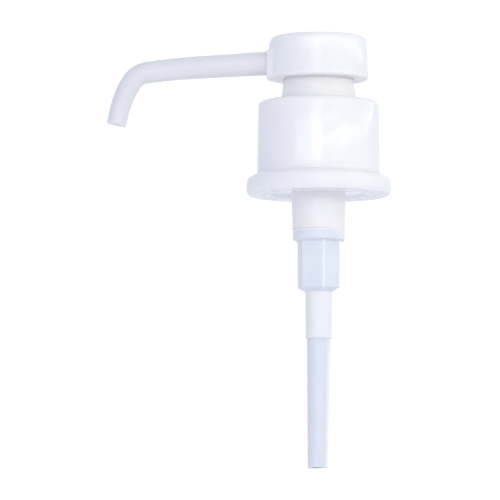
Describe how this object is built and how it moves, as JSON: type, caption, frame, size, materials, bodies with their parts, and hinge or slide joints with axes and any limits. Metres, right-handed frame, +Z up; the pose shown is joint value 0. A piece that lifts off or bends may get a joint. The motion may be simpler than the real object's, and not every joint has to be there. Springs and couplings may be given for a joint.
{
  "type": "condiment pump dispenser",
  "caption": "White plastic condiment pump: round press head with a long bent swivel spout, flanged screw closure, pump cylinder, hexagonal valve body and dip tube.",
  "frame": {"origin": "on the pump's axis, in the plane of the closure's underside, where the container's neck goes in", "axes": "+Z up along the pump's axis toward the press head; the spout points to -X"},
  "size_m": [0.1138, 0.058, 0.1733],
  "materials": {
    "white_pp": "glossy white polypropylene",
    "natural_pp": "translucent natural polypropylene",
    "natural_pe": "translucent natural polyethylene tube",
    "foam": "matt foam",
    "seal_rubber": "matt elastomer",
    "steel": "bright stainless steel"
  },
  "bodies": {
    "housing": {"pump_cylinder": "white_pp", "valve_body": "natural_pp", "dip_tube": "natural_pe", "inlet_ball_cage": "natural_pp", "cylinder_o_ring": "seal_rubber", "container_gasket": "foam", "guide_bushing": "natural_pp", "stem_wiper": "seal_rubber", "return_spring": "steel"},
    "closure": {"closure_shell": "white_pp", "threaded_insert": "white_pp"},
    "plunger": {"stem": "natural_pp", "piston_core": "white_pp", "piston_seal": "seal_rubber", "piston_retainer": "white_pp"},
    "head": {"head_shell": "white_pp", "actuator_core": "white_pp", "spout_tube": "white_pp", "spout_o_ring": "seal_rubber", "swivel_o_ring": "seal_rubber"},
    "inlet_ball": {"inlet_ball": "steel"},
    "outlet_ball": {"outlet_ball": "steel"}
  },
  "joints": [
    {"name": "closure_spin", "type": "hinge", "parent": "housing", "child": "closure", "pos_m": [0, 0, 0.014], "axis": [0, 0, 1], "continuous": true},
    {"name": "plunger_stroke", "type": "slide", "parent": "housing", "child": "plunger", "axis": [0, 0, -1], "range_m": [0, 0.0085], "stiffness_N_per_m": 1000, "springref_m": -0.006, "deforming": ["return_spring"]},
    {"name": "head_swivel", "type": "hinge", "parent": "plunger", "child": "head", "pos_m": [0, 0, 0.0436], "axis": [0, 0, 1], "continuous": true},
    {"name": "inlet_ball_lift", "type": "slide", "parent": "housing", "child": "inlet_ball", "axis": [0, 0, 1], "range_m": [0, 0.0025]},
    {"name": "outlet_ball_lift", "type": "slide", "parent": "plunger", "child": "outlet_ball", "axis": [0, 0, 1], "range_m": [0, 0.002]}
  ]
}
